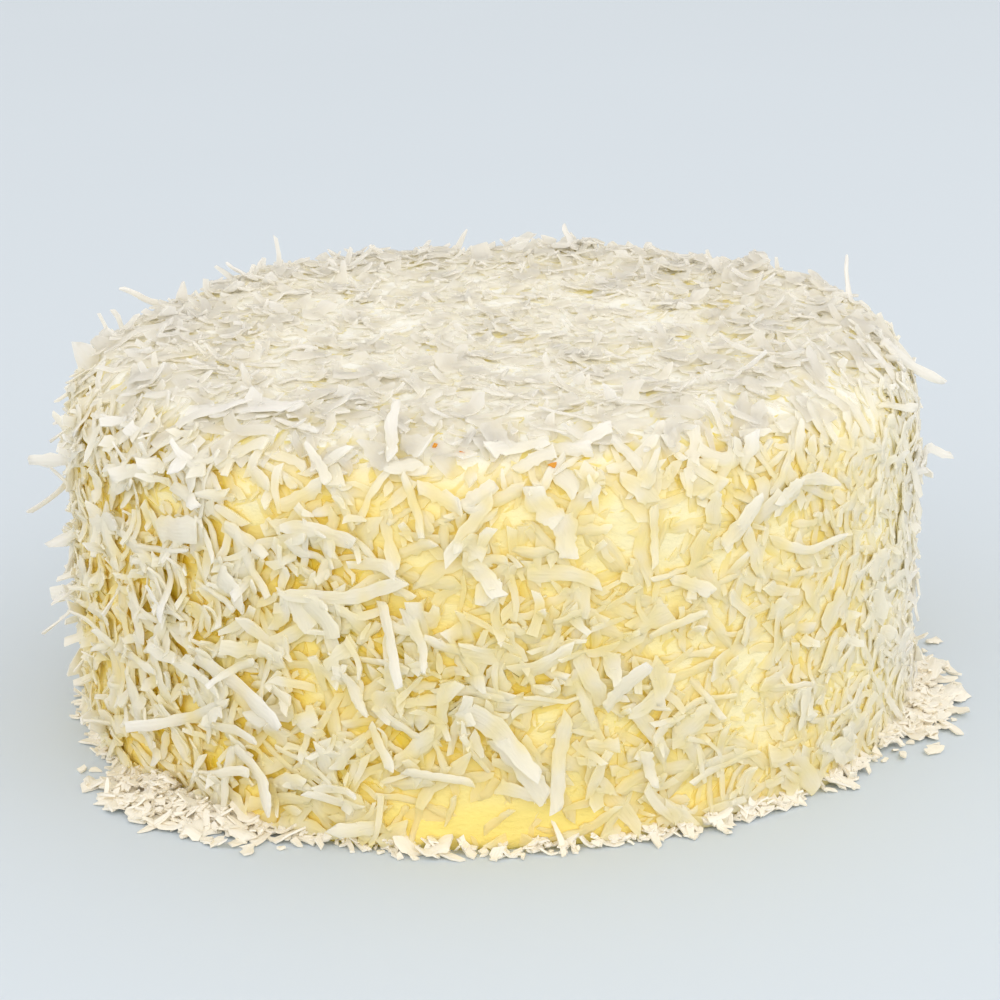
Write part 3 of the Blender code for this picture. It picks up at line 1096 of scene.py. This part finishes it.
@dataclass(frozen=True)
class FrostingFinish:
    """Soft butter frosting, satin, with faint knife marks and fine pits; painted shade makes it more golden
    in its hollows, and it is also more golden towards the foot.
    """

    pale: Colour = srgb(242, 231.5, 186)
    rich: Colour = srgb(242, 229, 171)
    # golden: the colour of the painted shade in the hollows, also laid on towards the foot
    golden: Colour = srgb(248.5, 223, 97)
    powder: Colour = srgb(240, 238, 227)
    roughness: float = 0.45

    def material(self) -> bpy.types.Material:
        """Makes the material.

        Returns:
            The material.
        """
        nodes = Nodes("butter_frosting")
        place = nodes.add("TexCoord").outputs["Object"]
        stretch = nodes.add("Mapping", values={"Scale": (1.0, 1.0, 2.2)})
        nodes.link(place, stretch.inputs["Vector"])
        clouds = nodes.add("TexNoise", values={"Scale": 70.0, "Detail": 2.0})
        nodes.link(stretch.outputs["Vector"], clouds.inputs["Vector"])
        spread = nodes.mix(nodes.ramp(clouds.outputs["Fac"], 0.3, 0.7), self.pale, self.rich)
        # painted shade: the deeper a place lies under the heap of shreds, the more golden it is painted, for
        # the warm shade between the shreds
        hollow_shade = nodes.ramp(nodes.value("deep"), 0.3 * MM, 1.6 * MM)
        height = nodes.add("SeparateXYZ")
        nodes.link(place, height.inputs[0])
        # more golden towards the foot, up to 26 mm above the floor
        low = nodes.maths("MULTIPLY", nodes.ramp(height.outputs["Z"], 26 * MM, 8 * MM), 0.7)
        golden = nodes.mix(nodes.maths("MAXIMUM", hollow_shade, low), spread, self.golden)
        # whiter where fine coconut lies on it; at the far right this whitening is partly painted light
        powdered = nodes.ramp(nodes.value("powder"), 0.5 * MM, 3 * MM)
        nodes.link(nodes.mix(powdered, golden, self.powder), nodes.shader.inputs["Base Color"])
        pits = nodes.add("TexNoise", values={"Scale": 330.0, "Detail": 3.0, "Roughness": 0.62})
        nodes.link(stretch.outputs["Vector"], pits.inputs["Vector"])
        nodes.bump(pits.outputs["Fac"], 0.9 * MM, 0.6)
        nodes.set(Roughness=self.roughness, Specular_IOR_Level=0.3)
        return nodes.material


@dataclass(frozen=True)
class CoconutFinish:
    """Moist coconut: white high in the heap and creamier lower down as painted bounce light, tinted yellow
    close to the frosting partly by frosting smeared on it and partly as painted light bounced off it, and
    golden deep in the heap as painted shade.
    """

    name: str = "coconut_shreds"
    white: Colour = srgb(254, 252.6, 249.5)
    cream: Colour = srgb(254, 250.6, 234)
    # tinted: partly frosting smeared on the shreds, partly painted light bounced off the frosting
    tinted: Colour = srgb(254, 245.2, 187)
    # golden: the colour of the painted shade deep in the heap
    golden: Colour = srgb(254, 240, 98)
    fibre: Colour = srgb(251.5, 250, 246.5)
    roughness: float = 0.48
    see_through: float = 0.46

    def material(self) -> bpy.types.Material:
        """Makes the material.

        Returns:
            The material.
        """
        nodes = Nodes(self.name)
        above, deep = nodes.value("above"), nodes.value("deep")
        fibre = nodes.add("UVMap", uv_map="Fibre").outputs["UV"]
        stretch = nodes.add("Mapping", values={"Scale": (260.0, 1500.0, 1.0)})
        nodes.link(fibre, stretch.inputs["Vector"])
        grain = nodes.add("TexNoise", values={"Scale": 1.0, "Detail": 1.0})
        nodes.link(stretch.outputs["Vector"], grain.inputs["Vector"])
        # cream lower in the heap and white higher up is painted bounce light; the tone between them differs
        # at random
        clean = nodes.mix(self._whiteness(nodes, above), self.cream, self.white)
        # shreds close to the frosting are tinted yellow, partly for frosting smeared on them and partly as
        # painted light bounced off the frosting; the noise makes the tint uneven
        smear_and_bounce = nodes.add("TexNoise", values={"Scale": 240.0, "Detail": 0.0})
        nodes.link(nodes.add("TexCoord").outputs["Object"], smear_and_bounce.inputs["Vector"])
        uneven = nodes.maths("MULTIPLY_ADD", smear_and_bounce.outputs["Fac"], 2.4 * MM, -1.2 * MM)
        raised = nodes.ramp(nodes.maths("ADD", above, uneven), 0.5 * MM, 2.9 * MM)
        tint = nodes.mix(raised, self.tinted, clean)
        # painted shade: shreds that lie deep under the level of the heap and close to the frosting are
        # painted golden, for the warm shade in the gaps
        near = nodes.maths("SUBTRACT", 1.0, nodes.ramp(above, 3 * MM, 8 * MM))
        hollow_shade = nodes.maths("MULTIPLY", nodes.ramp(deep, 0.2 * MM, 1.4 * MM), near)
        with_hollow_shade = nodes.mix(hollow_shade, tint, self.golden)
        shade = nodes.mix(nodes.ramp(grain.outputs["Fac"], 0.3, 0.75), self.fibre, (1.0, 1.0, 1.0, 1.0))
        multiply = nodes.add("Mix", data_type="RGBA", blend_type="MULTIPLY", values={"Factor": 0.5})
        nodes.link(with_hollow_shade, multiply.inputs[6])
        nodes.link(shade, multiply.inputs[7])
        nodes.link(multiply.outputs[2], nodes.shader.inputs["Base Color"])
        nodes.bump(grain.outputs["Fac"], 0.35 * MM, 0.75)
        nodes.set(Roughness=self.roughness)
        through = nodes.add("BsdfTranslucent")
        nodes.link(multiply.outputs[2], through.inputs["Color"])
        both = nodes.add("MixShader", values={"Fac": self.see_through})
        nodes.link(nodes.shader.outputs[0], both.inputs[1])
        nodes.link(through.outputs[0], both.inputs[2])
        nodes.link(both.outputs[0], nodes.tree.nodes["Material Output"].inputs["Surface"])
        return nodes.material

    def _whiteness(self, nodes: Nodes, above: bpy.types.NodeSocket) -> bpy.types.NodeSocket:
        """How white the clean part of a shred is: some whiter than others, and whiter the higher it lies,
        which is painted light: the cream lower down stands for light bounced off the frosting.
        """
        high = nodes.maths("MULTIPLY", nodes.ramp(above, 3 * MM, 6 * MM), 0.65)
        return nodes.maths("MULTIPLY_ADD", nodes.value("tone"), 0.35, high)


@dataclass(frozen=True)
class FloorFinish:
    """A plain pale studio floor."""

    colour: Colour = srgb(205, 214, 222)

    def material(self) -> bpy.types.Material:
        """Makes the material.

        Returns:
            The material.
        """
        nodes = Nodes("studio_floor")
        place = nodes.add("TexCoord").outputs["Object"]
        noise = nodes.add("TexNoise", values={"Scale": 3.0, "Detail": 2.0})
        nodes.link(place, noise.inputs["Vector"])
        paler = tuple(min(1.0, c * 1.03) for c in self.colour)
        nodes.link(nodes.mix(noise.outputs["Fac"], self.colour, paler), nodes.shader.inputs["Base Color"])
        nodes.set(Roughness=0.75)
        return nodes.material


@dataclass
class Frosting:
    """The frosted cake without its coconut: a drum with a rounded shoulder, spread by hand."""

    form: CakeForm
    coat: float = 2.4 * MM
    voxel: float = 1.5 * MM
    below: float = 3 * MM
    fixed_foot: float = 2 * MM
    unevenness: tuple[tuple[str, float, float], ...] = (
        ("spread", 42 * MM, 2.2 * MM),
        ("dabs", 14 * MM, 1.2 * MM),
        ("pulls", 5 * MM, 0.9 * MM),
    )
    body: bpy.types.Object = field(init=False)

    def build(self, finish: FrostingFinish) -> bpy.types.Object:
        """Models the frosting.

        Args:
            finish: its finish.
        Returns:
            The finished piece.
        """
        bpy.ops.object.select_all(action="DESELECT")
        radius, height = self.form.radius - self.coat, self.form.height - self.coat
        bpy.ops.mesh.primitive_cylinder_add(
            vertices=240,
            radius=radius,
            depth=height + self.below,
            location=(0, 0, (height - self.below) / 2),
        )
        self.body = bpy.context.object
        self.body.name = self.body.data.name = "frosting"
        bpy.ops.object.transform_apply(location=True, rotation=False, scale=False)
        self._select_rim(height)
        bpy.ops.mesh.bevel(offset=self.form.shoulder - self.coat, segments=14, affect="EDGES")
        bpy.ops.object.mode_set(mode="OBJECT")
        remesh = self.body.modifiers.new("even_net", "REMESH")
        remesh.mode, remesh.voxel_size = "VOXEL", self.voxel
        bpy.ops.object.modifier_apply(modifier=remesh.name)
        for name, size, depth in self.unevenness:
            self._displace(name, size, depth)
        self._flatten_base()
        self.body.data.materials.clear()
        self.body.data.materials.append(finish.material())
        self.body.data.shade_smooth()
        log.info("frosting: %d faces", len(self.body.data.polygons))
        return self.body

    def _select_rim(self, height: float) -> None:
        """Goes into edit mode with the edge round the top selected.

        Args:
            height: the height of the top.
        """
        mesh = self.body.data
        for part in (mesh.vertices, mesh.polygons):
            part.foreach_set("select", np.zeros(len(part), dtype=bool))
        for edge in mesh.edges:
            edge.select = all(abs(mesh.vertices[v].co.z - height) < 1e-5 for v in edge.vertices)
        bpy.ops.object.mode_set(mode="EDIT")
        bpy.ops.mesh.select_mode(type="EDGE")

    def _displace(self, name: str, size: float, depth: float) -> None:
        """Moves the surface in and out by soft clouds.

        Args:
            name: what the clouds are called.
            size: how large they are.
            depth: how far they move the surface.
        """
        clouds = bpy.data.textures.new(name, "CLOUDS")
        clouds.noise_scale, clouds.noise_depth = size, 1
        shift = self.body.modifiers.new(name, "DISPLACE")
        shift.texture, shift.texture_coords = clouds, "LOCAL"
        shift.strength, shift.mid_level = depth, 0.5
        bpy.ops.object.modifier_apply(modifier=shift.name)

    def _flatten_base(self) -> None:
        """Cuts the underside off flat where the cake stands."""
        bpy.ops.object.mode_set(mode="EDIT")
        bpy.ops.mesh.select_all(action="SELECT")
        bpy.ops.mesh.bisect(plane_co=(0, 0, 0), plane_no=(0, 0, 1), use_fill=True, clear_inner=True)
        bpy.ops.object.mode_set(mode="OBJECT")

    def places(self) -> Array:
        """Reads the vertices of the frosting.

        Returns:
            Their places, one row each.
        """
        flat = np.empty(3 * len(self.body.data.vertices))
        self.body.data.vertices.foreach_get("co", flat)
        return flat.reshape(-1, 3)

    def rise(self, heap: CakeHeap, rises: list[Array]) -> None:
        """Raises the frosting.

        Args:
            heap: the heap that lies on it.
            rises: how far it rises, on the heap's two charts.
        """
        points = self.places()
        on_form, normals, azimuth, run = self.form.nearest(points)
        shift = heap.mixed(rises, on_form, azimuth, run)
        shift *= np.clip(points[:, 2] / self.fixed_foot, 0, 1)
        points += normals * shift[:, None]
        self.body.data.vertices.foreach_set("co", points.ravel())
        self.body.data.update()

    def keep_depth(self, heap: CakeHeap) -> None:
        """Keeps how deep each vertex lies under the finished heap, and how much fine coconut is on it.

        Args:
            heap: the finished heap.
        """
        points = self.places()
        keep_values(self.body.data, "deep", heap.depth(points))
        keep_values(self.body.data, "powder", heap.powder(*self.form.nearest(points)[2:]))


@dataclass(frozen=True)
class Patch:
    """A place on the side or top where the shreds lie thinner, as an ellipse of azimuth and run."""

    azimuth: float
    run: float
    half_angle: float
    half_run: float
    cover: float


@dataclass
class Coconut:
    """The coat of shreds, laid in rounds so that every kind lies over and under the others."""

    form: CakeForm
    heap: CakeHeap
    draw: np.random.Generator
    rounds: int = 12
    top_counts: tuple[int, int, int, int, int] = (2400, 1000, 900, 900, 500)
    side_counts: tuple[int, int, int, int, int] = (2900, 2150, 2800, 450, 1300)
    sparse_at_left: Swell = Swell(-68, 34, 0.35)
    loose_at_left: Swell = Swell(-78, 36, 0.70)
    pressed_at_right: Swell = Swell(45, 40, -0.20)
    side_looseness: float = 0.72
    tighter_in_front: float = 0.12
    top_looseness: float = 0.6
    rim_looseness: float = 0.1
    looser_behind: float = 0.2
    pressed_rounds: int = 3
    rounds_after_rise: int = 4
    tries: int = 5
    usual_cover: float = 0.88
    least_cover: float = 0.6
    wave_height: float = 0.11
    # Waves of thick and thin cover: the way of each, in radians a metre, and where it starts
    waves: Rows = ((143, 71, 119, 0.0), (-97, 167, 83, 2.0), (61, -113, 201, 1.0))
    patches: tuple[Patch, ...] = (
        Patch(-1, 0.1855, 14.5, 0.0072, 0.05),
        Patch(-5, 0.1080, 8, 0.005, 0.35),
        Patch(9, 0.1160, 9, 0.007, 0.25),
        Patch(-20, 0.1150, 7, 0.005, 0.40),
        Patch(20, 0.1200, 6, 0.009, 0.30),
        Patch(28, 0.1290, 7, 0.009, 0.40),
        Patch(0, 0.1300, 9, 0.005, 0.50),
        Patch(30, 0.1600, 8, 0.012, 0.50),
    )

    def cover(self, azimuth: Array, run: Array, points: Array) -> Array:
        """How likely a shred is to stay at a place.

        Args:
            azimuth: azimuths.
            run: runs.
            points: the points there.
        Returns:
            Shares from 0 to 1.
        """
        wave = sum(np.sin(points @ np.array(way[:3], dtype=float) + way[3]) for way in self.waves)
        waved = np.clip(self.usual_cover + self.wave_height * wave, self.least_cover, 1.0)
        share = np.where(run < self.form.rim, 1.0, waved)
        share = share * (1 - self.sparse_at_left.at(azimuth) * (run > self.form.rim + self.form.quarter))
        for patch in self.patches:
            turned = (azimuth - patch.azimuth + 180) % 360 - 180
            away = np.hypot(turned / patch.half_angle, (run - patch.run) / patch.half_run)
            share = share * (patch.cover + (1 - patch.cover) * np.clip((away - 0.7) / 0.6, 0, 1))
        return share

    def loft(self, azimuth: Array, run: Array) -> Array:
        """How loose the shreds are: loose on the left side, pressed down right of the front and on top.

        Args:
            azimuth: azimuths.
            run: runs.
        Returns:
            Factors on how far they stand out.
        """
        side = self.side_looseness - self.tighter_in_front * np.cos(np.radians(azimuth))
        side = side + self.loose_at_left.at(azimuth) + self.pressed_at_right.at(azimuth)
        down = np.clip((run - self.form.rim) / self.form.quarter, 0, 1)
        edge = self.rim_looseness + self.looser_behind * (1 - np.cos(np.radians(azimuth)))
        top = self.top_looseness + edge * np.clip((run - 0.7 * self.form.rim) / (0.3 * self.form.rim), 0, 1)
        return top * (1 - down) + side * down

    def trim(self, run: Array) -> Array:
        """How much shorter than elsewhere the shreds are: they are shortest in the middle of the top."""
        return 0.66 + 0.34 * np.clip((run - 0.6 * self.form.rim) / (0.4 * self.form.rim), 0, 1)

    def places(
        self, count: int, low: float, high: float, draw: np.random.Generator, evenly: bool = False
    ) -> tuple[Array, Array]:
        """Draws places between two runs, even in area but for the cover.

        Args:
            count: how many.
            low: the least run.
            high: the largest run.
            draw: the source of random numbers.
            evenly: whether they keep off the bare patches alone.
        Returns:
            Azimuths and runs.
        """
        tries = count * self.tries
        azimuth = draw.uniform(-180, 180, tries)
        run = draw.uniform(low, high, tries)
        points = self.form.at(azimuth, run)
        area = np.hypot(points[:, 0], points[:, 1]) / self.form.radius
        cover = self.cover(azimuth, run, points)
        kept = draw.random(tries) < area * (np.where(cover < 0.1, cover, 1.0) if evenly else cover)
        return azimuth[kept][:count], run[kept][:count]

    def _lay_round(self, pieces: dict[str, ShredPiece], kinds: tuple[ShredKind, ...], rounds: int) -> None:
        """Lays one round of shreds on the top and on the side.

        Args:
            pieces: the pieces that gather them, by name; new ones are added.
            kinds: the kinds of shred in it.
            rounds: how many such rounds there are.
        """
        shoulder = self.form.rim + 0.5 * self.form.quarter
        regions = (
            ("top", 0.0, shoulder, self.top_counts),
            ("side", shoulder, self.form.outline - 1 * MM, self.side_counts),
        )
        for region, low, high, counts in regions:
            for kind in kinds:
                name = f"{region}_{kind.name.lower()}"
                piece = pieces.setdefault(name, ShredPiece(name, kind.value, self.draw))
                count = math.ceil(counts[list(ShredKind).index(kind)] / rounds)
                azimuth, run = self.places(count, low, high, self.draw, kind is ShredKind.PRESSED)
                batch = ShredBatch.drawn(kind.value, azimuth, run, self.draw)
                batch.length = batch.length * self.trim(run)
                piece.lay(batch.loosened(self.loft(azimuth, run)), self.form, self.heap)

    def lay(
        self,
        frosting: Frosting,
        material: bpy.types.Material,
        top_material: bpy.types.Material,
        toasted: bpy.types.Material,
    ) -> list[bpy.types.Object]:
        """Lays all shreds.

        Args:
            frosting: the frosting that they lie on.
            material: their finish.
            top_material: the finish of those on top.
            toasted: the finish of the toasted flecks.
        Returns:
            The finished pieces.
        """
        draw = self.draw
        pieces: dict[str, ShredPiece] = {}
        for _ in range(self.pressed_rounds):
            self._lay_round(pieces, (ShredKind.PRESSED,), self.pressed_rounds)
        frosting.rise(self.heap, self.heap.rise(top=0.9, side=0.75, right=0.0, reach=1.3 * MM))
        for index in range(self.rounds):
            if index == self.rounds - self.rounds_after_rise:
                frosting.rise(self.heap, self.heap.rise(top=0.95, side=0.06, right=0.5, reach=0.9 * MM))
            loose = (ShredKind.RIBBON, ShredKind.FINE, ShredKind.FLAKE, ShredKind.CRUMB)
            self._lay_round(pieces, loose, self.rounds)
        chosen = ShredPiece("chosen_shreds", ShredKind.CHOSEN.value, draw)
        for rows in (FRONT_SHREDS, STRAY_SHREDS):
            chosen.lay(ShredBatch.chosen(chosen.cut, rows, draw), self.form, self.heap)
        flecks = ShredPiece("toasted_flecks", ShredKind.CRUMB.value, draw)
        flecks.lay(ShredBatch.chosen(flecks.cut, TOASTED_FLECKS, draw), self.form, self.heap)
        self.heap.settle(reach=3 * MM)
        frosting.keep_depth(self.heap)
        finished = [
            piece.finish(self.heap, top_material if piece.name.startswith("top") else material)
            for piece in (*pieces.values(), chosen)
        ]
        return [*finished, flecks.finish(self.heap, toasted)]


@dataclass(frozen=True)
class Drift:
    """A place where more coconut has fallen, thinning out to both sides and outwards."""

    azimuth: float
    spread: float
    reach_mm: float
    shreds: int


@dataclass
class Skirt:
    """The crumbs and short shreds that have fallen round the foot, with drifts left, right and behind."""

    form: CakeForm
    draw: np.random.Generator
    crumbs: int = 800
    fines: int = 200
    flakes: int = 40
    drifts: tuple[Drift, ...] = (Drift(-46, 7, 6, 90), Drift(77, 9, 5, 60), Drift(160, 16, 5, 40))
    furthest_drift_mm: float = 12
    usual_reach: float = 1 * MM
    furthest: float = 5 * MM
    foot_inside: float = 0.8 * MM
    tucked_in: float = 1 * MM
    rounds: int = 6
    shortness: float = 0.75
    looseness: float = 0.7

    def lay(self, material: bpy.types.Material) -> list[bpy.types.Object]:
        """Lays the skirt.

        Args:
            material: its finish.
        Returns:
            The finished pieces.
        """
        floor = FloorForm()
        heap = FloorHeap(self.form.radius - self.foot_inside)
        draw = self.draw
        kinds = (
            ("skirt_flake", ShredKind.FLAKE, self.flakes),
            ("skirt_fine", ShredKind.FINE, self.fines),
            ("skirt_crumb", ShredKind.CRUMB, self.crumbs),
        )
        pieces = []
        for name, kind, count in kinds:
            piece = ShredPiece(name, kind.value, draw)
            azimuth = draw.uniform(-180, 180, count)
            out = draw.exponential(self.usual_reach, count).clip(0, self.furthest)
            for drift in self.drifts:
                azimuth = np.concatenate((azimuth, draw.normal(drift.azimuth, drift.spread, drift.shreds)))
                fallen = draw.gamma(2.0, drift.reach_mm / 2, drift.shreds).clip(0, self.furthest_drift_mm)
                out = np.concatenate((out, fallen * MM))
            for part in np.array_split(draw.permutation(len(azimuth)), self.rounds):
                away = self.form.radius - self.tucked_in + out[part]
                batch = ShredBatch.drawn(kind.value, azimuth[part], away, draw)
                batch.length = batch.length * self.shortness
                piece.lay(batch.loosened(np.full(len(part), self.looseness)), floor, heap)
            pieces.append(piece.finish(heap, material))
        return pieces


@dataclass(frozen=True)
class Lamp:
    """A soft square lamp."""

    name: str
    place: tuple[float, float, float]
    size: float
    watts: float
    colour: tuple[float, float, float]


@dataclass
class Studio:
    """The pale floor, the soft lights and the camera at the photo's angle."""

    lamps: tuple[Lamp, ...] = (
        Lamp("key", (0.9, -1.5, 0.85), 2.4, 11.9, (1.0, 0.978, 0.97)),
        Lamp("fill", (-1.2, -1.5, 0.6), 2.4, 10.0, (1.0, 0.982, 0.978)),
        Lamp("side", (1.35, 0.1, 0.9), 1.8, 2.4, (1.0, 1.0, 1.0)),
    )
    lamps_look_at: tuple[float, float, float] = (0, 0, 0.05)
    world_colour: Colour = (1.0, 0.99, 0.975, 1.0)
    world_strength: float = 0.98
    floor_size: float = 60
    camera_place: tuple[float, float, float] = (0.0008, -0.7076, 0.2726)
    pitch: float = 17.446
    roll: float = -1.637
    focal: float = 104.75
    sensor: float = 36.0

    def build(self, finish: FloorFinish) -> None:
        """Sets up the floor, the lights, the world and the camera.

        Args:
            finish: the floor's finish.
        """
        bpy.ops.object.select_all(action="DESELECT")
        bpy.ops.mesh.primitive_plane_add(size=self.floor_size, location=(0, 0, 0))
        floor = bpy.context.object
        floor.name = "studio_floor"
        floor.data.materials.append(finish.material())
        for lamp in self.lamps:
            self._light(lamp)
        self._world()
        self._camera()
        cycles = bpy.context.scene.cycles
        cycles.diffuse_bounces, cycles.max_bounces = 12, 14
        cycles.use_light_tree, cycles.debug_use_spatial_splits = False, True

    def _light(self, lamp: Lamp) -> None:
        """Adds a lamp that looks at the cake.

        Args:
            lamp: the lamp.
        """
        light = bpy.data.lights.new(lamp.name, "AREA")
        light.size, light.energy, light.color = lamp.size, lamp.watts, lamp.colour
        stand = bpy.data.objects.new(lamp.name, light)
        stand.location = lamp.place
        way = Vector(self.lamps_look_at) - Vector(lamp.place)
        stand.rotation_euler = way.to_track_quat("-Z", "Y").to_euler()
        bpy.context.scene.collection.objects.link(stand)

    def _world(self) -> None:
        """Sets a soft even light from all round."""
        world = bpy.data.worlds.new("studio")
        world.use_nodes = True
        sky = world.node_tree.nodes["Background"]
        sky.inputs["Color"].default_value = self.world_colour
        sky.inputs["Strength"].default_value = self.world_strength
        bpy.context.scene.world = world
        bpy.context.scene.view_settings.view_transform = "Standard"

    def _camera(self) -> None:
        """Adds the camera at the place and the angle of the photo's."""
        lens = bpy.data.cameras.new("camera")
        lens.lens, lens.sensor_width = self.focal, self.sensor
        camera = bpy.data.objects.new("camera", lens)
        tip = Matrix.Rotation(math.radians(90 - self.pitch), 4, "X")
        turn = Matrix.Rotation(math.radians(self.roll), 4, "Z")
        camera.matrix_world = Matrix.Translation(self.camera_place) @ tip @ turn
        bpy.context.scene.collection.objects.link(camera)
        bpy.context.scene.camera = camera


def own(piece: bpy.types.Object) -> None:
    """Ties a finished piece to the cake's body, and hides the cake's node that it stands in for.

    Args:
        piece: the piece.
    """
    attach(piece, BODY)
    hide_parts(NODE)


def main() -> None:
    """Builds the studio and the cake."""
    logging.basicConfig(level=logging.INFO, format="%(message)s")
    form = CakeForm()
    Studio().build(FloorFinish())
    frosting = Frosting(form)
    own(frosting.build(FrostingFinish()))
    heap = CakeHeap(form)
    heap.rest_on(frosting.body)
    log.info("frosting heights read")
    draw = np.random.default_rng(SEED)
    coconut = CoconutFinish().material()
    coconut_top = CoconutFinish(
        "coconut_on_top", white=srgb(253, 252, 249.2), cream=srgb(253, 251.1, 245.2), see_through=0.72
    ).material()
    # the fallen coconut's whites are warmed a little as painted light: a warm reflection from below, as from
    # a gold cake board
    fallen = CoconutFinish(
        "fallen_coconut", white=srgb(255, 250.5, 239), cream=srgb(255, 248, 229), see_through=0.12
    ).material()
    brown, orange = srgb(205, 132, 22), srgb(226, 154, 44)
    toasted = CoconutFinish("toasted_coconut", orange, orange, brown, brown, see_through=0.1).material()
    coat = Coconut(form, heap, draw).lay(frosting, coconut, coconut_top, toasted)
    for piece in coat + Skirt(form, draw).lay(fallen):
        own(piece)


if __name__ == "__main__":
    main()
